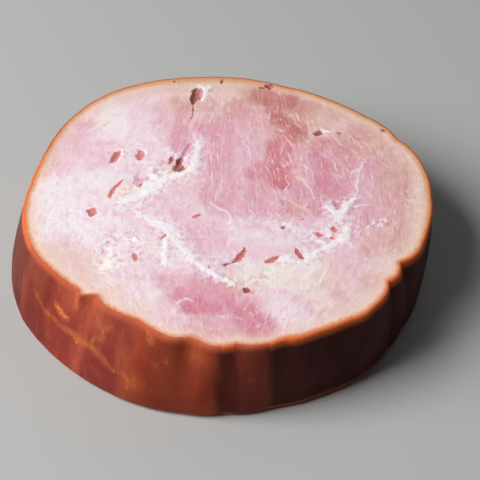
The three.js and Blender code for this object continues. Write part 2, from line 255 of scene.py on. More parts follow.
SMOKY_MEAT = [
    ([(10.5, 48.5, 6), (19, 46, 6)], 0.75),
    ([(21, 43, 7), (28, 38, 7)], 0.7),
    ([(17, 38, 3.5), (20.5, 34.5, 3.5), (22.5, 28, 2.5)], 0.75),
    ([(37, 33, 9), (46, 25, 8)], 0.42),
    ([(50, 16, 7), (53, 4, 6), (53, -8, 5), (50, -18, 4)], 0.42),
    ([(42, -29, 5), (32, -40, 4)], 0.15),
    ([(-20, 54, 5), (0, 55, 5), (16, 53, 5)], 0.7),
    ([(-16, 48, 5), (-3, 45, 7), (6, 43, 5)], 0.4),
    ([(30, 47, 5), (42, 38, 5)], 0.6),
    ([(-40, 44, 3.5), (-28, 51, 3.5)], 0.45),
    ([(-54, 24, 3), (-56, 14, 3)], 0.4),
    ([(-47, -22, 6), (-40, -29, 5)], 0.35),
    ([(-22.8, -11, 1.2), (-21.4, -14, 1.2)], 0.6),
]
# Where fat, membranes and pale meat are cream and not lilac
WARM_MEAT = [
    ([(-31, 3, 3), (-24, 5, 3.5), (-14, 12, 3)], 0.9),
    ([(5, -34, 5), (16, -31, 6), (27, -33, 6)], 0.9),
    ([(-48, -24, 6), (-38, -30, 6)], 0.6),
    ([(-38, 38, 5), (-37, 32, 4)], 0.4),
    ([(20, 40, 14), (40, 30, 12)], 0.8),
    ([(-10, 50, 12), (5, 50, 8)], 0.7),
    ([(51, 12, 7), (51, -12, 7), (42, -20, 6)], 0.8),
    ([(28, -27, 3), (26, -36, 4)], 0.9),
    ([(16, -1, 3), (21.5, -4, 4)], 0.4),
    ([(-27, -20, 4), (-20, -20, 4)], 0.3),
    ([(18, 26, 5), (17, 12, 5)], 0.4),
    ([(36, 14, 4)], 0.5),
    ([(26, 30, 4)], 0.6),
    ([(-24, 46, 5)], 0.4),
    ([(-38, -33, 5), (-22, -41, 5)], 0.45),
    ([(27, -42, 5), (41, -33, 5)], 0.45),
]

# Hollows: path, width, depth, tone (-1 mauve, 0 light red, 0.5 dark red, 1 brown)
HOLLOWS = [
    ([(-10, 51.8), (-10.2, 48.6), (-10.9, 45)], 3, 0.8, 0.9),
    ([(-8.7, 51.8), (-8.5, 49.4), (-9.3, 46.8)], 1.3, 0.3, -0.6),
    ([(-11.1, 44.8), (-11.3, 40), (-11.6, 36)], 0.5, 0.1, 1),
    ([(-11.2, 25.6), (-12.4, 22.2), (-13.9, 18.6)], 1.8, 0.35, -0.8),
    ([(-13.9, 19.2), (-14.6, 17.4), (-15.1, 15.8)], 2.2, 0.7, 0.5),
    ([(-14.9, 15.6), (-14.4, 12.3)], 2.8, 0.4, 1),
    ([(-17.1, 19), (-17.4, 15.8)], 1.6, 0.45, 0.3),
    ([(-19.6, 17.4), (-20.3, 15.2)], 1.3, 0.05, -1),
    ([(-21.3, 13.6), (-21.7, 11.6)], 1.3, 0.05, -1),
    ([(-32.9, 21.5), (-34, 19), (-35.4, 16.8)], 2.2, 0.45, 0.1),
    ([(-26.9, 22.4), (-26.2, 17.9)], 2.4, 0.35, -0.4),
    ([(-30.9, 8.6), (-32.8, 5.8), (-34.2, 3), (-34.6, 1)], 1.1, 0.2, 0),
    ([(-40.5, -5.1), (-38.4, -5.7)], 3, 0.35, 0),
    ([(-27.2, 10.2), (-26.6, 8.2), (-26, 6.4)], 2.2, 0.15, -1),
    ([(-25.8, 7.2), (-25.6, 6.2)], 1.2, 0.25, 0.6),
    ([(26.1, 30.3), (28.6, 29.9)], 2.3, 0.4, 0.6),
    ([(33.4, 30.3), (34.8, 30.4)], 0.9, 0.15, 0.1),
    ([(12.7, 52.2), (13.1, 54.2)], 2.6, 0.9, 1),
    ([(9.8, 52.6), (11.4, 52.4)], 1.1, 0.3, 1),
    ([(-2.6, 54.4), (-2, 56.2)], 1, 0.5, 0.9),
    ([(-17.4, 55), (-16.9, 55.8)], 1, 0.5, 0.9),
    ([(47.4, 32.3), (47.9, 31)], 1.2, 0.5, 0.9),
    ([(1.6, -26.2), (3.9, -23.3), (5, -20)], 1.6, 0.35, 0.15),
    ([(-1.2, -27.2), (1.2, -26.5)], 1.1, 0.15, 0.6),
    ([(10.2, -25.7), (12.8, -25), (14.4, -22.9)], 1.5, 0.35, 0.1),
    ([(19.2, -20.4), (20, -22.6), (21.6, -24.4)], 1.1, 0.3, 0.3),
    ([(4.4, -36.3), (6.3, -37.6)], 1.8, 0.35, 0.6),
    ([(6.4, -37.6), (7.4, -37.9)], 1, 0.1, -1),
    ([(15.6, -11), (15.9, -12.4)], 1.1, 0.3, 0.4),
    ([(-18.7, -16.1), (-17.6, -14.4)], 1, 0.15, -0.3),
    ([(-10.2, -7.6), (-7.6, -6.4)], 1, 0.1, 0),
    ([(-26.6, -22.2), (-25.6, -25.6)], 1.3, 0.15, 0),
    ([(31.3, -0.6), (32.2, -4.2)], 1.6, 0.3, -0.7),
    ([(30.1, -12), (30.9, -13.6)], 1.1, 0.25, 0),
    ([(25.4, -14.2), (27.7, -14.8)], 1, 0.15, 0),
    ([(29.3, -15.6), (30.2, -16.6)], 1, 0.15, 0.1),
    ([(22, -8.2), (22.1, -8.8)], 0.9, 0.2, -0.4),
    ([(-5.1, -27.3), (-4.9, -27.9)], 1.1, 0.15, -0.2),
]

# Crumbly patches, mottled with white and mauve: (x, y, half width) along each
CRUMBLY = [
    [(22, -17, 2.2), (26, -14.8, 2.6), (31, -12, 3)],
    [(15, -9.5, 2), (18.5, -12.5, 2)],
    [(-28, -15, 2.6), (-26, -18, 3), (-25, -24, 2.6)],
    [(-33, -15, 3), (-35, -21, 3), (-31, -26, 2.6)],
    [(-16, 20, 3), (-15, 14, 3)],
    [(36, -3, 3), (31, -3, 3)],
    [(-3, -26, 2), (3, -26, 1.6)],
    [(8, -33, 2.4), (12, -30, 2)],
    [(-27, 9, 2.6)],
    [(46, -9, 2.4), (38, -12, 2)],
    [(-9, 50, 3.4)],
]

# Golden veins on the skin: (angle, height, half width) along each, and brightness
VEINS = [
    ([(-153.1, 17.1, 0.5), (-150, 15.7, 0.5), (-147.1, 14.2, 0.5), (-143.3, 14.2, 0.55), (-139.7, 13.8, 0.6),
      (-135.9, 13.8, 0.8), (-132.5, 13.4, 1.2), (-128.1, 13.8, 1.2), (-125, 12.7, 1), (-122, 11, 0.8),
      (-119.6, 10.1, 0.6)], 0.75),
    ([(-118.4, 10.6, 0.6), (-116.8, 10.5, 0.6), (-115.4, 9.2, 0.8), (-115.4, 6, 0.5)], 0.6),
    ([(-143.6, 18.8, 0.5), (-142.4, 18.4, 0.8), (-140.1, 17.5, 0.8), (-138, 16.6, 0.5)], 1.5),
    ([(-127.9, 22.3, 0.4), (-125.9, 20.3, 0.9), (-124.6, 18.7, 0.8), (-127.3, 16.6, 0.6),
      (-129, 14.4, 0.5)], 0.55),
    ([(-122, 22.8, 0.3), (-125.6, 20.5, 0.7)], 0.6),
    ([(-159.8, 17.5, 0.3), (-158.9, 14.5, 0.5), (-158, 12.5, 0.3)], 0.5),
    ([(-136.6, 26, 1.1), (-136.4, 24, 1.2), (-135.6, 22, 0.8)], 0.6),
    ([(-110.2, 26, 1.2), (-109.4, 24.2, 1.3)], 0.95),
    ([(-106.5, 0.8, 0.6), (-105.5, 1.6, 0.5)], 0.9),
]
# Golden spots: angle, height, radius, brightness
SPOTS = [
    (-144.8, 6.8, 0.35, 1.6), (-133.4, 12.2, 0.35, 1.8), (-133.3, 5.6, 0.3, 1.4), (-72.3, 15.4, 0.55, 0.8),
    (-62, 17.4, 0.5, 0.6), (-82.5, 15, 1, 0.5), (-104.5, 19.5, 0.7, 0.6), (-107.5, 17.5, 1.1, 0.4),
    (-137, 23, 4.5, 0.25), (-127, 22, 4.5, 0.12), (-96, 23, 3.5, 0.4), (-113, 9, 3, 0.35),
]
# Darker stretches of the skin, partly darker smoked skin and partly painted shade, most of all on the side
# away from the window: angle, half width, strength
SMOKE_AND_PAINTED_SHADE = [
    (-22, 58, 1), (-75, 4.5, 0.9), (-84, 5, 0.5), (-89.5, 3, 0.75), (-125, 7, 0.14), (-106, 7, 0.22),
    (180, 22, 0.72), (195, 18, 0.4), (110, 40, 0.6),
]
# Amber stretches of the skin, the same way
AMBER = [(-104, 13, 0.65), (-86, 6, 0.45), (-152, 9, 0.15)]
# More veins and spots, scattered round the sides that the photo doesn't show, from and to an angle
STRAY_VEINS = 15
STRAY_SPOTS = 26
STRAY_SIDES = (-60, 190)

# Bands along the rim of the cut face: usual width, and stretches (angle, half width, change). The golden
# band is browned meat, and along the front partly a painted glow of light through the rim
CREAM_BAND = (4.6, [(150, 26, -2.0), (100, 24, 0.8)])
GOLDEN_BAND = (1.8, [(100, 24, 2.5), (50, 30, 0.8), (150, 20, 0.6), (5, 16, 0.4), (-98, 5, 0.6)])
FRONT_MEAT = (-38, -8)  # the meat changes between these y from the front's look to the back's

# The base shows the same muscles as the cut face, a little grown and shifted, with other fibres
BASE_SHARE = 0.96
BASE_OFFSET = (2, 3)
BASE_FIBRES = 300.0
BASE_CLEAR = 0.25  # how far its middle stays off the floor
BASE_RELIEF = 0.5

# Display colours, 0 to 255
COLOURS = {
    "pink": (230, 199, 210), "warm pink": (230, 203, 199),
    "rose": (206, 118, 138), "warm rose": (206, 122, 124),
    "pale": (235, 224, 230), "warm pale": (236, 226, 220),
    "browned pale": (216, 180, 162), "browned lean": (180, 107, 103),
    "curd": (237, 228, 240), "warm curd": (242, 231, 218), "blush": (214, 144, 150),
    "fibre": (240, 228, 238), "warm fibre": (243, 229, 214),
    "crumb": (236, 228, 242), "warm crumb": (242, 234, 224),
    "mauve": (206, 148, 166), "pore": (186, 108, 108),
    "tallow": (236, 230, 242), "warm tallow": (244, 238, 227),
    # The front rim colour is partly browned meat and partly a painted glow of light through the rim
    "rim cream": (236, 202, 178), "front rim with painted glow": (216, 134, 96), "back rim": (206, 146, 102),
    "rim speck": (240, 208, 150),
    "mauve hollow": (202, 142, 166), "red hollow": (212, 114, 108), "dark hollow": (146, 52, 50),
    "brown hollow": (142, 88, 70), "light in hollow": (222, 148, 130), "dark in hollow": (140, 50, 56),
    "lip": (220, 164, 160),
    "bark": (132, 50, 42), "light bark": (164, 76, 56), "golden bark": (170, 86, 50),
    "dark bark": (112, 36, 32), "amber bark": (134, 50, 22),
    # The darkest skin colour here is partly smoked skin and partly painted shade; the two rim colours after
    # it are a painted glow of light through the rim, on the lit and on the shaded side
    "vein": (210, 120, 62), "smoke_and_painted_shade": (46, 10, 13), "painted rim glow in light": (176, 84, 56), "painted rim glow in shade": (232, 114, 56),
}

# The flat map that the surface is baked through: left, bottom and width of each disc on it, and
# left, bottom, width and height of each strip of skin. A disc's width on the map is MAP_SPAN mm.
MAP_NAME = "OFBake"
MAP_SPAN = 130.0
CUT_MAP = (0.0, 0.296, 0.704)
BASE_MAP = (0.705, 0.705, 0.29)
SKIN_MAPS = [(0.002, 0.002, 0.996, 0.143), (0.002, 0.149, 0.996, 0.143)]

# Light that goes under the surface, and the finest relief
GLOW_SHARE = 0.3
GLOW_REACH = 1.5
GLOW_TINT = (1.0, 0.45, 0.35)
BUMP_STRENGTH = 0.35
BUMP_DEPTH = 0.25

# Floor, lights (place in metres, width, watts, tint) and camera
FLOOR_SIZE = 6.0
FLOOR_GREY = (0.42, 0.42, 0.41, 1)
FLOOR_ROUGHNESS = 0.8
LIGHTS = {
    "window": ((-0.82, -0.22, 0.82), 0.75, 21, (1.0, 1.0, 1.0)),
    "fill": ((0.3, 0.7, 0.8), 0.8, 1.0, (1.0, 0.98, 0.96)),
}
LIT_POINT = (0, 0, 0.01)
SKY_TINT = (0.9, 0.93, 1.0, 1)
SKY_STRENGTH = 0.07
LENS = 120
SENSOR = 36
CAMERA_RISE = 44  # degrees above the horizon
CAMERA_PLACE = (3.59, -344.8, 343.6)  # from under the middle of the cut face

# Fineness of the mesh
CUT_CELLS = 232
BASE_CELLS = CUT_CELLS // 2
WALL_LEVELS = 25
EDGE_STEPS = 4
NOISE_CELLS = 256

# What the points of the cut face and the base carry for the material
MEAT_MARKS = (
    "lean", "pale", "smoky", "warm", "fat", "near", "cream", "thread", "pit", "tone",
    "creamy", "golden", "back",
)


def colour(red, green, blue):
    """A display colour, 0 to 255, as the linear colour that a shader takes."""
    share = np.array([red, green, blue]) / 255
    linear = np.where(share <= 0.04045, share / 12.92, ((share + 0.055) / 1.055) ** 2.4)
    return (*linear.tolist(), 1.0)


def step(value, low, high):
    """Rises smoothly from 0 at low to 1 at high."""
    t = np.clip((value - low) / (high - low), 0, 1)
    return t * t * (3 - 2 * t)


def lerp(start, end, share):
    return start + (end - start) * share


def turned(angle, at, half_width):
    """How far an angle in radians is from one in degrees, in units of a half width in degrees."""
    turn = angle - radians(at)
    return np.abs(np.arctan2(np.sin(turn), np.cos(turn))) / radians(half_width)


def noise(x, y, size, seed, octaves=1):
    """Smooth hills and dips from -1 to 1, the biggest about `size` across."""
    total = np.zeros_like(x)
    reach = 0.0
    for octave in range(octaves):
        table = np.random.default_rng(seed + octave).uniform(-1, 1, (NOISE_CELLS, NOISE_CELLS))
        turn, scale = 0.6 + 1.1 * octave, size * 0.5**octave
        u = (x * cos(turn) - y * sin(turn)) / scale
        v = (x * sin(turn) + y * cos(turn)) / scale
        i, j = np.floor(u).astype(int), np.floor(v).astype(int)
        s, t = step(u - i, 0, 1), step(v - j, 0, 1)
        i, j = i % NOISE_CELLS, j % NOISE_CELLS
        i2, j2 = (i + 1) % NOISE_CELLS, (j + 1) % NOISE_CELLS
        near = lerp(table[i, j], table[i2, j], s)
        far = lerp(table[i, j2], table[i2, j2], s)
        total += lerp(near, far, t) * 0.5**octave
        reach += 0.5**octave
    return total / reach


def wave_height(waves, angle):
    return sum(height * np.cos(lobes * angle - radians(phase)) for lobes, height, phase in waves)


def fold_depth(angle, up):
    depth = np.zeros_like(angle)
    for at, most, half_width, sharpness, foot, fade in FOLDS:
        away = turned(angle, at, half_width)
        depth = depth + most * np.exp(-(away**sharpness)) * lerp(foot, 1, up**fade)
    return depth


def wall_relief(angle, up):
    """Slight flutes, wrinkles and lumps of the skin."""
    x, y, z = np.cos(angle) * CUT_RADIUS, np.sin(angle) * CUT_RADIUS, up * THICKNESS
    flutes = noise(x + 0.1 * z, y, FLUTE_SIZE, seed=11, octaves=2)
    lumps = noise(x * 0.9 + z * 0.5, y * 0.9 - z * 0.7, LUMP_SIZE, seed=21, octaves=3)
    return flutes * FLUTE_HEIGHT + lumps * lerp(*LUMP_HEIGHTS, step(up, 0.9, 1))


def outline(angle, up, inset):
    """The skin at an angle and a share of the height, drawn in by an inset."""
    at_base = BASE_RADIUS + wave_height(BASE_WAVES, angle)
    at_cut = CUT_RADIUS + wave_height(CUT_WAVES, angle)
    radius = lerp(at_base, at_cut, step(up, -0.1, 1.1)) + BULGE * np.sin(pi * up)
    radius = radius - fold_depth(angle, up) - inset + wall_relief(angle, up)
    return (
        radius * np.cos(angle) + (1 - up) * LEAN[0],
        radius * np.sin(angle) + (1 - up) * LEAN[1],
    )


def along_path(x, y, path):
    """Distance to a path in units of its own half width, and where along it, 0 to 1."""
    points = np.array(path if len(path) > 1 else path * 2, float)
    nearest, where = np.full_like(x, 1e9), np.zeros_like(x)
    for k in range(len(points) - 1):
        (ax, ay, aw), (bx, by, bw) = points[k], points[k + 1]
        dx, dy = bx - ax, by - ay
        t = np.clip(((x - ax) * dx + (y - ay) * dy) / max(dx * dx + dy * dy, 1e-9), 0, 1)
        away = np.hypot(x - ax - t * dx, y - ay - t * dy) / lerp(aw, bw, t)
        where = np.where(away < nearest, (k + t) / (len(points) - 1), where)
        nearest = np.minimum(nearest, away)
    return nearest, where


def warped(x, y, amount, size, seed):
    """The place shifted a little, so that drawn shapes get uneven edges."""
    across = noise(x, y, size, seed, octaves=3)
    along = noise(x, y, size, seed + 50, octaves=3)
    return x + amount * across, y + amount * along


def masses(x, y, shapes):
    """Strength of the strongest of some soft masses at each point."""
    total = np.zeros_like(x)
    for path, strength in shapes:
        away, _ = along_path(x, y, path)
        total = np.maximum(total, strength * (1 - step(away, 0.45, 1.6)))
    return total


def rim_width(x, y, band):
    """Width of a band along the rim, seen from the middle."""
    usual, stretches = band
    width = np.full_like(x, usual)
    for at, half_width, change in stretches:
        width = width + change * np.exp(-(turned(np.arctan2(y, x), at, half_width) ** 2))
    return width


def fat_marks(x, y):
    """How fatty each point is, how near to fat or crumbs, and how creamy the fat is."""
    fat, near, cream = np.zeros_like(x), np.zeros_like(x), np.zeros_like(x)
    for path, creaminess in SEAMS:
        away, _ = along_path(x, y, path)
        strength = np.exp(-(away**2) * 0.8)
        cream = np.where(strength > fat, creaminess, cream)
        fat = np.maximum(fat, strength)
        near = np.maximum(near, np.exp(-((away / 2.4) ** 2)))
    for path in CRUMBLY:
        away, _ = along_path(x, y, path)
        near = np.maximum(near, 0.9 * np.exp(-(away**2)))
    return fat, near, cream


def thread_mark(x, y):
    thread = np.zeros_like(x)
    for path, brightness in THREADS:
        away, _ = along_path(x, y, path)
        thread = np.maximum(thread, brightness * np.exp(-(away**2)))
    return thread


def hollow_marks(x, y):
    """How far each point sinks into a hollow, how much inside it is, and the hollow's tone."""
    ragged = 0.28 * noise(x, y, 1.2, seed=87, octaves=2)
    x, y = warped(x, y, 0.6, 1.9, seed=81)
    drop, pit, tone = np.zeros_like(x), np.zeros_like(x), np.zeros_like(x)
    for path, width, depth, darkness in HOLLOWS:
        away, where = along_path(x, y, [(px, py, 1) for px, py in path])
        taper = np.sqrt(np.clip(1 - np.abs(2 * where - 1) ** 2.4, 0.12, 1))
        away = away / (width / 2 * taper) + ragged
        drop = drop + depth * (1 - step(away, 0.2, 1.1))
        inside = 1 - step(away, 0.7, 1.5)
        tone = np.where(inside > pit, darkness, tone)
        pit = np.maximum(pit, inside)
    return drop, pit, tone


def cut_face(x, y, hollowed):
    """Height and marks of a cut face at points on it."""
    wx, wy = warped(x, y, 2.0, 7, seed=31)
    fx, fy = warped(x, y, 0.8, 3.2, seed=41)
    lean = masses(wx, wy, LEAN_MEAT)
    fat, near, cream = fat_marks(fx, fy)
    thread = thread_mark(fx, fy)
    drop, pit, tone = hollow_marks(x, y) if hollowed else [np.zeros_like(x)] * 3
    height = FAT_RISE * fat + THREAD_RISE * thread - LEAN_DIP * lean * (1 - fat) - drop
    height += SWELL * noise(x, y, 7, seed=61, octaves=3)
    height += lerp(*GRIT, near) * noise(x, y, 1.7, seed=71, octaves=2)
    marks = dict(
        lean=lean,
        pale=masses(wx, wy, PALE_MEAT_AND_PAINTED_SHEEN),
        smoky=masses(wx, wy, SMOKY_MEAT),
        warm=masses(wx, wy, WARM_MEAT),
        fat=fat, near=near, cream=cream, thread=thread, pit=pit, tone=tone,
        creamy=rim_width(x, y, CREAM_BAND), golden=rim_width(x, y, GOLDEN_BAND),
        back=step(y, *FRONT_MEAT),
    )
    return height, marks


def grain(x, y):
    """Coordinates across and along the meat's fibres, which bend round with the rim."""
    stretch = np.sqrt(1 + FIBRE_BEND * y * y / (x * x + FIBRE_REACH**2))
    sway = FIBRE_SWAY * noise(x, y, 26, seed=91, octaves=2)
    return x * stretch + sway, y + FIBRE_FAN * x * y / CUT_RADIUS


def disc_grid(cells):
    """A square grid bent into a disc: each point's share of the radius, and its angle."""
    side = np.linspace(-1, 1, cells + 1)
    a, b = np.meshgrid(side, side, indexing="ij")
    flat = np.abs(a) >= np.abs(b)
    main, other = np.where(flat, a, b), np.where(flat, b, a)
    slope = pi / 4 * other / np.where(main == 0, 1, main)
    angle = np.where(flat, slope, pi / 2 - slope) + np.where(main < 0, pi, 0)
    return np.abs(main).ravel(), angle.ravel()


def grid_faces(cells, first, upwards):
    """The four-sided faces of a grid whose points start at `first`."""
    i, j = np.meshgrid(np.arange(cells), np.arange(cells), indexing="ij")
    corner = (first + i * (cells + 1) + j).ravel()
    order = [corner, corner + cells + 1, corner + cells + 2, corner + 1]
    return np.stack(order if upwards else order[::-1], axis=1)


def grid_rim(cells, first):
    """The points on a grid's edge, anticlockwise from -45 degrees."""
    run = np.arange(cells)
    sides = ((cells, run), (cells - run, cells), (0, cells - run), (run, 0))
    return np.concatenate([first + i * (cells + 1) + j for i, j in sides])


def wall_stations():
    """Height and inset of each level of the skin, from the cut rim down to the base."""
    turns = [pi / 2 * i / EDGE_STEPS for i in range(EDGE_STEPS)]
    rim = [(THICKNESS - CUT_EDGE * (1 - sin(t)), CUT_EDGE * (1 - cos(t))) for t in turns[:0:-1]]
    heights = np.linspace(THICKNESS - CUT_EDGE, BASE_EDGE, WALL_LEVELS)
    foot = [(BASE_EDGE * (1 - sin(t)), BASE_EDGE * (1 - cos(t))) for t in turns[1:]]
    return rim + [(float(z), 0.0) for z in heights] + foot


def disc_map(points, group, centre, at, facing):
    """Where the corners of a level face's cells lie on the flat map; facing is 1 up and -1 down."""
    left, bottom, width = at
    across = facing * (points["x"][group] - centre[0]) / MAP_SPAN + 0.5
    along = (points["y"][group] - centre[1]) / MAP_SPAN + 0.5
    return np.stack([left + width * across, bottom + width * along], axis=-1)


def skin_map(cells, top, bottom):
    """Where the corners of one row of the skin's cells lie; top and bottom are shares of its height."""
    half = cells // len(SKIN_MAPS)
    run = np.arange(cells)
    at = np.array(SKIN_MAPS)[run // half]
    u = at[:, :1] + at[:, 2:3] * ((run % half)[:, None] + np.array([0, 0, 1, 1])) / half
    v = at[:, 1:2] + at[:, 3:] * (1 - np.array([top, bottom, bottom, top]))
    return np.stack([u, v], axis=-1)


def cut_points():
    """The points of the cut face with their marks, and the angle of each."""
    share, angle = disc_grid(CUT_CELLS)
    rim_x, rim_y = outline(angle, np.ones_like(angle), CUT_EDGE)
    x, y = rim_x * share, rim_y * share
    edge = np.hypot(rim_x, rim_y) * (1 - share)
    height, marks = cut_face(x, y, True)
    z = THICKNESS + height * step(edge, 0, RIM_FLAT)
    return dict(x=x, y=y, z=z, edge=edge, gx=x, gy=y, **marks), angle


def skin_points(angle, level, inset):
    """The points of one level of the skin, which has no marks of meat."""
    x, y = outline(angle, np.full_like(angle, level / THICKNESS), inset)
    z = np.full_like(angle, level)
    marks = dict.fromkeys(MEAT_MARKS, np.zeros_like(angle))
    return dict(x=x, y=y, z=z, edge=-np.minimum(THICKNESS - z, z), gx=x, gy=y, **marks)


def base_points():
    """The points of the base with their marks."""
    share, angle = disc_grid(BASE_CELLS)
    rim_x, rim_y = outline(angle, np.zeros_like(angle), BASE_EDGE)
    x = lerp(LEAN[0], rim_x, share)
    y = lerp(LEAN[1], rim_y, share)
    edge = np.hypot(rim_x, rim_y) * (1 - share)
    height, marks = cut_face(x * BASE_SHARE + BASE_OFFSET[0], y * BASE_SHARE + BASE_OFFSET[1], False)
    z = np.maximum(BASE_CLEAR - BASE_RELIEF * height, 0) * step(edge, 1, 6)
    return dict(x=x, y=y, z=z, edge=edge, gx=x + BASE_FIBRES, gy=y, **marks)


def ham_mesh():
    """The slice as one closed mesh, with its marks kept on its points, and its flat map."""
    top, angle = cut_points()
    parts = [top]
    faces = [grid_faces(CUT_CELLS, 0, True)]
    flat = [disc_map(top, faces[0], (0, 0), CUT_MAP, 1)]
    ring = grid_rim(CUT_CELLS, 0)
    rim_angle = angle[ring]
    count = len(angle)

    stations = wall_stations()
    lengths = [dist(above, below) for above, below in zip([(THICKNESS, CUT_EDGE), *stations], stations)]
    reach = np.cumsum([0.0, *lengths]) / sum(lengths)
    for row, (level, inset) in enumerate(stations):
        parts.append(skin_points(rim_angle, level, inset))
        below = count + np.arange(len(ring))
        faces.append(np.stack([ring, below, np.roll(below, -1), np.roll(ring, -1)], axis=1))
        flat.append(skin_map(len(ring), reach[row], reach[row + 1]))
        ring, count = below, count + len(ring)

    # Each of the base's cells, which are twice as wide, is joined to two of the skin's
    parts.append(base_points())
    faces.append(grid_faces(BASE_CELLS, count, False))
    inner = grid_rim(BASE_CELLS, count)
    fine, middle, after = ring[::2], ring[1::2], np.roll(ring[::2], -1)
    last = np.roll(inner, -1)
    for triangle in ((fine, inner, middle), (inner, last, middle), (middle, last, after)):
        faces.append(np.stack(triangle, axis=1))

    points = {key: np.concatenate([part[key] for part in parts]) for key in top}
    flat += [disc_map(points, group, LEAN, BASE_MAP, -1) for group in faces[len(flat):]]
    return points, faces, flat


def mesh_object(name, points, faces, flat):
    x, y = points["x"] + CUT_CENTRE[0], points["y"] + CUT_CENTRE[1]
    places = np.stack([x, y, points["z"]], axis=1) * MM
    mesh = bpy.data.meshes.new(name)
    mesh.from_pydata(places.tolist(), [], [face for group in faces for face in group.tolist()])
    corners = np.concatenate([group.ravel() for group in flat]).astype(np.float32)
    mesh.uv_layers.new(name=MAP_NAME).data.foreach_set("uv", corners)
    mesh.validate()
    mesh.shade_smooth()
    made = bpy.data.objects.new(name, mesh)
    bpy.context.scene.collection.objects.link(made)
    return made


def keep_mark(mesh, name, values):
    mesh.attributes.new(name, "FLOAT", "POINT").data.foreach_set("value", values.astype(np.float32))


def stray_marks():
    """Veins and spots for the sides that the photo doesn't show, like those that it does."""
    rng = np.random.default_rng(7)
    veins, spots = [], []
    for _ in range(STRAY_VEINS):
        angle, height = rng.uniform(*STRAY_SIDES), rng.uniform(5, 24)
        slope, path = rng.uniform(-2.4, 2.4), []
        for _ in range(rng.integers(3, 8)):
            path.append((angle, height, rng.uniform(0.3, 0.9)))
            angle += rng.uniform(0.8, 3)
            height = float(np.clip(height + slope + rng.uniform(-1.5, 1.5), 2, 25))
        veins.append((path, rng.uniform(0.3, 0.8)))
    for _ in range(STRAY_SPOTS):
        place = rng.uniform(*STRAY_SIDES), rng.uniform(3, 24)
        spots.append((*place, rng.uniform(0.3, 0.8), rng.uniform(0.4, 1.4)))
    return veins, spots


def skin_marks(points):
    """How golden each point of the skin is, from its veins and spots."""
    angle = np.degrees(np.arctan2(points["y"] - LEAN[1] / 2, points["x"] - LEAN[0] / 2))
    mm_per_degree = radians(CUT_RADIUS)
    z = points["z"]
    gold = np.zeros_like(z)
    strays, stray_spots = stray_marks()
    for path, brightness in VEINS + strays:
        middle = path[len(path) // 2][0]
        arc = ((angle - middle + 180) % 360 - 180) * mm_per_degree
        sx, sz = warped(arc, z, 0.5, 2.4, seed=101)
        away, _ = along_path(sx, sz, [((a - middle) * mm_per_degree, h, w) for a, h, w in path])
        gold = np.maximum(gold, brightness * np.exp(-(away**2)))
    for at, height, radius, brightness in SPOTS + stray_spots:
        arc = ((angle - at + 180) % 360 - 180) * mm_per_degree
        gold = np.maximum(gold, brightness * np.exp(-(np.hypot(arc, z - height) / radius) ** 2))
    return gold * (points["edge"] < 0)


def stretch_marks(points, stretches):
    """Strength at each point of some stretches of the skin, with soft uneven sides."""
    x, y, z = points["x"], points["y"], points["z"]
    angle = np.arctan2(y, x) + 0.04 * noise(x + 0.4 * z, y - 0.3 * z, 7, seed=111, octaves=2)
    mark = np.zeros_like(angle)
    for at, half_width, strength in stretches:
        away = turned(angle, at, half_width)
        soft = min(0.45, 3 / half_width)
        mark = np.maximum(mark, strength * (1 - step(away, 1 - soft, 1 + soft)))
    return mark


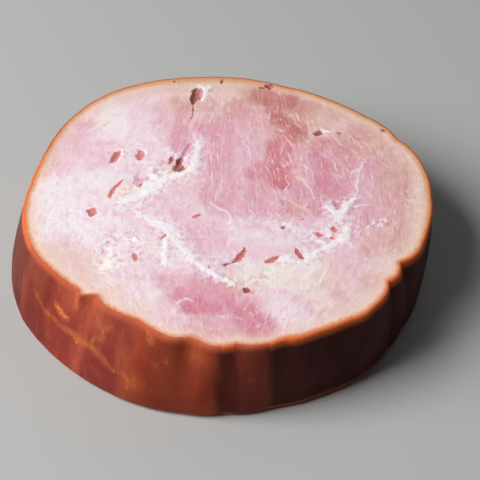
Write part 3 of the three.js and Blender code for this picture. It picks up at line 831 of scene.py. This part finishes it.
class Shader:
    """Short ways to add and join the nodes of one material."""

    def __init__(self, name):
        self.material = bpy.data.materials.new(name)
        self.material.use_nodes = True
        self.tree = self.material.node_tree
        self.surface = self.tree.nodes["Principled BSDF"]

    def node(self, kind, **settings):
        made = self.tree.nodes.new(kind)
        for key, value in settings.items():
            setattr(made, key, value)
        return made

    def link(self, value, socket):
        if isinstance(value, bpy.types.NodeSocket):
            self.tree.links.new(value, socket)
        else:
            socket.default_value = value

    def mark(self, name, output="Fac"):
        return self.node("ShaderNodeAttribute", attribute_name=name).outputs[output]

    def math(self, operation, first, second=0.0, clamp=False):
        made = self.node("ShaderNodeMath", operation=operation, use_clamp=clamp)
        self.link(first, made.inputs[0])
        self.link(second, made.inputs[1])
        return made.outputs[0]

    def times(self, first, second):
        return self.math("MULTIPLY", first, second)

    def plus(self, first, second):
        return self.math("ADD", first, second)

    def larger(self, first, second):
        return self.math("MAXIMUM", first, second)

    def sway(self, noise, amount):
        """A noise as a change up and down."""
        return self.times(self.math("SUBTRACT", noise, 0.5), amount)

    def ramp(self, value, low, high, bottom=0.0, top=1.0):
        """Bottom at low, top at high, smooth between."""
        made = self.node("ShaderNodeMapRange", interpolation_type="SMOOTHSTEP")
        for socket, number in zip(made.inputs[:5], (value, low, high, bottom, top)):
            self.link(number, socket)
        return made.outputs[0]

    def between(self, share, first, second):
        made = self.node("ShaderNodeMix", data_type="FLOAT")
        self.link(share, made.inputs[0])
        self.link(first, made.inputs[2])
        self.link(second, made.inputs[3])
        return made.outputs[0]

    def mix(self, share, first, second):
        """Two colours mixed; either may be the name of one in COLOURS."""
        made = self.node("ShaderNodeMix", data_type="RGBA")
        self.link(share, made.inputs["Factor"])
        for shade, socket in ((first, made.inputs[6]), (second, made.inputs[7])):
            self.link(colour(*COLOURS[shade]) if isinstance(shade, str) else shade, socket)
        return made.outputs[2]

    def scaled(self, vector, scale):
        made = self.node("ShaderNodeMapping")
        self.link(vector, made.inputs["Vector"])
        made.inputs["Scale"].default_value = scale
        return made.outputs[0]

    def noise(self, vector, scale, detail, roughness, space="2D", distortion=0.0, output="Fac"):
        """Hills and dips about 1 / scale mm across; scale may be two numbers, across and along."""
        if isinstance(scale, tuple):
            vector, scale = self.scaled(vector, (*scale, 1)), 1.0
        made = self.node("ShaderNodeTexNoise", noise_dimensions=space)
        self.link(vector, made.inputs["Vector"])
        settings = {"Scale": scale, "Detail": detail, "Roughness": roughness, "Distortion": distortion}
        for name, value in settings.items():
            made.inputs[name].default_value = value
        return made.outputs[output]

    def warped(self, vector, scale, across, along):
        """The coordinates shifted about, so that what is drawn with them bends."""
        shift = self.node("ShaderNodeVectorMath", operation="MULTIPLY_ADD")
        self.link(self.noise(vector, scale, 2, 0.5, output="Color"), shift.inputs[0])
        shift.inputs[1].default_value = (across, along, 0)
        self.link(vector, shift.inputs[2])
        return shift.outputs[0]

    def cells(self, vector, feature, output):
        made = self.node("ShaderNodeTexVoronoi", feature=feature, voronoi_dimensions="2D")
        self.link(vector, made.inputs["Vector"])
        made.inputs["Scale"].default_value = 1.0
        return made.outputs[output]


def patterns(s):
    """The coordinates and marks that several parts of the material are drawn with."""
    at = SimpleNamespace()
    grain = s.mark("grain", "Vector")
    at.bent = s.warped(grain, 0.1, 3.5, 3.5)
    at.straight = s.warped(grain, 0.16, 1.3, 4.0)
    at.place = s.scaled(s.node("ShaderNodeTexCoord").outputs["Object"], (1 / MM, 1 / MM, 1 / MM))
    at.tall = s.scaled(at.place, (1, 1, 0.35))
    at.bundle = s.scaled(at.bent, (0.2, 0.1, 1))
    at.strand = s.noise(at.bent, (0.9, 0.14), 4, 0.65)
    at.lumps = s.noise(at.bent, (0.8, 0.6), 5, 0.75)
    at.bark = s.noise(at.tall, 0.09, 4, 0.6, "3D", 0.4)
    at.edge = s.mark("edge")
    at.near = s.mark("near")
    return at


def muscle(s, at):
    """Lean and pale meat, and how lean and how warm it is."""
    shade = s.cells(at.bundle, "F1", "Color")
    mottle = s.noise(at.place, 0.3, 4, 0.65)
    blotch = s.noise(at.bent, (0.45, 0.27), 4, 0.62)
    lean = s.plus(s.mark("lean"), s.plus(s.sway(shade, 0.2), s.sway(at.strand, 0.55)))
    lean = s.math("ADD", lean, s.sway(mottle, 0.45), True)
    pale = s.plus(s.mark("pale"), s.plus(s.sway(blotch, 1.7), s.sway(mottle, -0.7)))
    pale = s.math("SUBTRACT", pale, s.times(lean, 0.3), True)
    warm = s.plus(s.mark("warm"), s.ramp(at.edge, 1.5, 9, 0.8, 0.0))
    warm = s.ramp(s.plus(warm, s.sway(s.noise(at.place, 0.16, 4, 0.6), 1.6)), -0.2, 1.1)
    meat = s.mix(lean, s.mix(warm, "pink", "warm pink"), s.mix(warm, "rose", "warm rose"))
    # Pale meat, on the left partly painted sheen of the window light
    meat = s.mix(pale, meat, s.mix(warm, "pale", "warm pale"))
    browned = s.mix(lean, "browned pale", "browned lean")
    return s.mix(s.times(s.mark("smoky"), 0.85), meat, browned), lean, warm


def curdled(s, at, meat, warm):
    """Curdled spots of pale and of red, stronger in some places."""
    coarse = s.ramp(s.noise(at.place, 0.06, 2, 0.5), 0.42, 0.58, 0.2, 1.0)
    curd = s.plus(0.5, s.times(coarse, s.sway(s.noise(at.bent, (0.7, 0.42), 4, 0.68), 1.0)))
    meat = s.mix(s.ramp(curd, 0.52, 0.68, 0.0, 0.4), meat, s.mix(warm, "curd", "warm curd"))
    return s.mix(s.ramp(curd, 0.48, 0.32, 0.0, 0.35), meat, "blush")


def pale_lines(s, at, lean):
    """How much of the meat is covered by fibres, threads, membranes and crumbs."""
    # Fibres in clusters, mostly in the lean meat away from the front
    cluster = s.plus(s.noise(at.place, 0.11, 3, 0.6), s.times(lean, 0.12))
    cluster = s.ramp(cluster, 0.42, 0.66, 0.12, 1.0)
    cluster = s.times(cluster, s.between(s.mark("back"), 0.25, 1.0))
    cluster = s.times(cluster, s.ramp(lean, 0.1, 0.6, 0.15, 1.0))
    fibres = s.times(s.ramp(s.noise(at.straight, (1.8, 0.12), 1.6, 0.5), 0.61, 0.69), cluster)
    # Crumbs
    crumbs = s.ramp(s.noise(at.place, 1.3, 4, 0.7), 0.56, 0.66)
    crumbs = s.times(crumbs, s.ramp(s.noise(at.place, 0.13, 3, 0.6), 0.45, 0.6, 0.15, 1.0))
    # Membranes between the bundles, broken up
    membrane = s.ramp(s.cells(at.bundle, "DISTANCE_TO_EDGE", "Distance"), 0.0, 0.045, 1.0, 0.0)
    membrane = s.times(membrane, s.ramp(s.noise(at.bent, (0.4, 0.1), 3, 0.6), 0.48, 0.6))
    # Drawn threads, with uneven edges
    thread = s.mark("thread")
    uneven = s.sway(s.noise(at.bent, (1.3, 0.9), 4, 0.7), 1.1)
    thread = s.ramp(s.plus(thread, s.times(uneven, s.ramp(thread, 0.0, 0.3))), 0.15, 0.85)
    lines = s.larger(fibres, s.times(crumbs, 0.22))
    lines = s.larger(lines, s.times(membrane, 0.4))
    lines = s.larger(lines, thread)
    return s.times(lines, s.ramp(s.mark("smoky"), 0.2, 0.8, 0.7, 0.4))


def fat_and_sinew(s, at, meat, warm):
    """Seams of fat, with lilac bloom, crumbs and pores near them."""
    crumb = s.noise(at.place, 0.62, 4, 0.65)
    meat = s.mix(s.times(at.near, s.ramp(crumb, 0.48, 0.38, 0.0, 0.7)), meat, "mauve")
    white = s.mix(warm, "crumb", "warm crumb")
    meat = s.mix(s.times(at.near, s.ramp(crumb, 0.51, 0.59, 0.0, 0.9)), meat, white)
    pores = s.times(at.near, s.ramp(s.noise(at.place, 1.0, 3, 0.6), 0.36, 0.27))
    meat = s.mix(s.times(pores, 0.75), meat, "pore")
    uneven = s.times(s.sway(at.lumps, 2.8), s.ramp(at.near, 0.0, 0.4, 0.35, 1.0))
    fat = s.ramp(s.plus(s.mark("fat"), uneven), 0.12, 0.8)
    return s.mix(s.times(fat, 0.9), meat, s.mix(s.mark("cream"), "tallow", "warm tallow"))


def cut_rim(s, at, meat):
    """Cream and golden bands along the rim of the cut face; the golden band is browned meat, and along the
    front partly a painted glow of light through the rim.
    """
    ragged = s.plus(at.edge, s.sway(s.noise(at.place, 0.7, 3, 0.6), 1.2))
    cream_band = s.ramp(s.math("DIVIDE", ragged, s.mark("creamy")), 0.05, 1.0, 0.75, 0.0)
    meat = s.mix(cream_band, meat, "rim cream")
    # The golden band: browned meat, and at the front partly a painted glow of light through the rim
    golden_band = s.ramp(s.math("DIVIDE", ragged, s.mark("golden")), 0.0, 1.0, 1.0, 0.0)
    meat = s.mix(golden_band, meat, s.mix(s.mark("back"), "front rim with painted glow", "back rim"))
    specks = s.ramp(s.noise(at.place, 1.6, 2, 0.6), 0.55, 0.66)
    return s.mix(s.times(specks, s.ramp(at.edge, 0.0, 1.0, 0.6, 0.0)), meat, "rim speck")


def hollows(s, at, meat):
    """The hollows, from mauve to brown by their tone, lighter at their lips and darker inside with painted
    shade.
    """
    tone = s.mark("tone")
    hole = s.mix(s.ramp(tone, -1.0, 0.0), "mauve hollow", "red hollow")
    hole = s.mix(s.ramp(tone, 0.0, 0.5), hole, "dark hollow")
    hole = s.mix(s.ramp(tone, 0.5, 1.0), hole, "brown hollow")
    inside = s.noise(at.place, 1.3, 3, 0.7)
    hole = s.mix(s.ramp(inside, 0.5, 0.62, 0.0, 0.3), hole, "light in hollow")
    hole = s.mix(s.ramp(inside, 0.48, 0.38, 0.0, 0.5), hole, "dark in hollow")
    pit = s.mark("pit")
    uneven = s.sway(s.noise(at.place, 1.1, 3, 0.7), 1.5)
    pit = s.plus(pit, s.times(uneven, s.ramp(pit, 0.0, 0.25)))
    # Lighter at the lip and darker further in: painted shade of the hollow over its own colour
    hole = s.mix(s.ramp(pit, 0.25, 0.8, 0.7, 0.0), hole, "lip")
    hidden = s.ramp(tone, -1.0, -0.5, 0.5, 0.92)
    return s.mix(s.times(s.ramp(pit, 0.1, 0.7), hidden), meat, hole)


def smoked_skin(s, at):
    """Brick red skin with golden veins, darkened by smoke and by painted shade, and with a painted glow of
    light through the cut rim, stronger where the shade is painted.
    """
    browning = s.ramp(s.noise(at.tall, 0.2, 5, 0.65, "3D"), 0.5, 0.7, 0.0, 0.5)
    scorch = s.ramp(s.noise(at.place, 0.5, 3, 0.6, "3D"), 0.56, 0.75, 0.0, 0.35)
    skin = s.mix(s.ramp(at.bark, 0.36, 0.62), "bark", "light bark")
    skin = s.mix(browning, skin, "golden bark")
    skin = s.mix(scorch, skin, "dark bark")
    skin = s.mix(s.mark("amber"), skin, "amber bark")
    gold = s.ramp(s.noise(at.place, 0.9, 3, 0.6, "3D"), 0.3, 0.65, 0.35, 1.0)
    gold = s.times(s.times(s.mark("gold"), gold), 0.85)
    skin = s.mix(s.math("MINIMUM", gold, 1.0), skin, "vein")
    smoke_and_painted_shade = s.mark("smoke_and_painted_shade")
    # Darker smoked skin, and painted shade where the window light doesn't fall
    skin = s.mix(s.times(smoke_and_painted_shade, 0.9), skin, "smoke_and_painted_shade")
    # A painted glow of light through the rim, broader and brighter on the side with painted shade
    shaded = s.ramp(smoke_and_painted_shade, 0.5, 0.9)
    painted_rim_glow = s.ramp(at.edge, s.between(shaded, -2.4, -3.2), -0.1, 0.0, 0.9)
    return s.mix(painted_rim_glow, skin, s.mix(shaded, "painted rim glow in light", "painted rim glow in shade"))


def gloss_and_relief(s, at, covered, lines):
    """Softly glossy meat and satin skin; covered is 1 on the skin and 0 on the meat."""
    s.link(s.between(covered, 0.22, 0.1), s.surface.inputs["Specular IOR Level"])
    s.surface.inputs["Subsurface Weight"].default_value = GLOW_SHARE
    s.surface.inputs["Subsurface Radius"].default_value = GLOW_TINT
    s.surface.inputs["Subsurface Scale"].default_value = GLOW_REACH * MM
    wet = s.ramp(s.noise(at.place, 0.5, 4, 0.6), 0.35, 0.65, 0.36, 0.55)
    dry = s.larger(s.ramp(at.bark, 0.35, 0.65, 0.6, 0.45), s.ramp(at.edge, -2.5, -0.4, 0.0, 0.7))
    s.link(s.between(covered, wet, dry), s.surface.inputs["Roughness"])

    meat_relief = s.plus(s.times(at.lumps, 1.4), s.times(at.strand, 0.6))
    meat_relief = s.plus(meat_relief, s.times(lines, 0.5))
    wrinkles = s.noise(s.scaled(at.place, (1, 1, 0.2)), 2.4, 2, 0.5, "3D")
    skin_relief = s.plus(s.noise(at.tall, 1.1, 5, 0.6, "3D"), s.times(wrinkles, 0.4))
    bump = s.node("ShaderNodeBump")
    bump.inputs["Strength"].default_value = BUMP_STRENGTH
    bump.inputs["Distance"].default_value = BUMP_DEPTH * MM
    s.link(s.between(covered, meat_relief, skin_relief), bump.inputs["Height"])
    s.link(bump.outputs[0], s.surface.inputs["Normal"])


def ham_material():
    s = Shader("ham")
    at = patterns(s)
    meat, lean, warm = muscle(s, at)
    meat = curdled(s, at, meat, warm)
    lines = pale_lines(s, at, lean)
    meat = s.mix(lines, meat, s.mix(warm, "fibre", "warm fibre"))
    meat = fat_and_sinew(s, at, meat, warm)
    meat = cut_rim(s, at, meat)
    meat = hollows(s, at, meat)
    covered = s.ramp(s.plus(at.edge, s.sway(at.lumps, 0.25)), -0.2, 0.5, 1.0, 0.0)
    s.link(s.mix(covered, meat, smoked_skin(s, at)), s.surface.inputs["Base Color"])
    gloss_and_relief(s, at, covered, lines)
    return s.material


def add_ham():
    points, faces, flat = ham_mesh()
    ham = mesh_object("ham", points, faces, flat)
    for name in ("edge", *MEAT_MARKS):
        keep_mark(ham.data, name, points[name])
    keep_mark(ham.data, "gold", skin_marks(points))
    keep_mark(ham.data, "smoke_and_painted_shade", stretch_marks(points, SMOKE_AND_PAINTED_SHADE))
    keep_mark(ham.data, "amber", stretch_marks(points, AMBER))
    across, along = grain(points["gx"], points["gy"])
    fibres = np.stack([across, along, np.zeros_like(across)], axis=1).astype(np.float32)
    ham.data.attributes.new("grain", "FLOAT_VECTOR", "POINT").data.foreach_set("vector", fibres.ravel())
    ham.data.materials.append(ham_material())
    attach(ham, "root")
    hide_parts("ham_slice")


def add_stage():
    bpy.ops.mesh.primitive_plane_add(size=FLOOR_SIZE, location=(0, 0, 0))
    floor = bpy.context.object
    floor.name = "floor"
    s = Shader("floor")
    s.surface.inputs["Base Color"].default_value = FLOOR_GREY
    s.surface.inputs["Roughness"].default_value = FLOOR_ROUGHNESS
    floor.data.materials.append(s.material)


def add_lights():
    for name, (place, width, watts, tint) in LIGHTS.items():
        lamp = bpy.data.lights.new(name, "AREA")
        lamp.size = width
        lamp.energy = watts
        lamp.color = tint
        made = bpy.data.objects.new(name, lamp)
        made.location = place
        made.rotation_euler = (Vector(LIT_POINT) - Vector(place)).to_track_quat("-Z", "Y").to_euler()
        bpy.context.scene.collection.objects.link(made)
    world = bpy.data.worlds.new("studio")
    world.use_nodes = True
    background = world.node_tree.nodes["Background"]
    background.inputs["Color"].default_value = SKY_TINT
    background.inputs["Strength"].default_value = SKY_STRENGTH
    bpy.context.scene.world = world


def add_camera():
    camera = bpy.data.cameras.new("camera")
    camera.lens = LENS
    camera.sensor_width = SENSOR
    camera.clip_start = 0.01
    made = bpy.data.objects.new("camera", camera)
    x, y, z = CAMERA_PLACE
    made.location = Vector((x + CUT_CENTRE[0], y + CUT_CENTRE[1], z)) * MM
    made.rotation_euler = (radians(90 - CAMERA_RISE), 0, 0)
    bpy.context.scene.collection.objects.link(made)
    bpy.context.scene.camera = made


add_ham()
add_stage()
add_lights()
add_camera()
bpy.context.scene.view_settings.view_transform = "Standard"
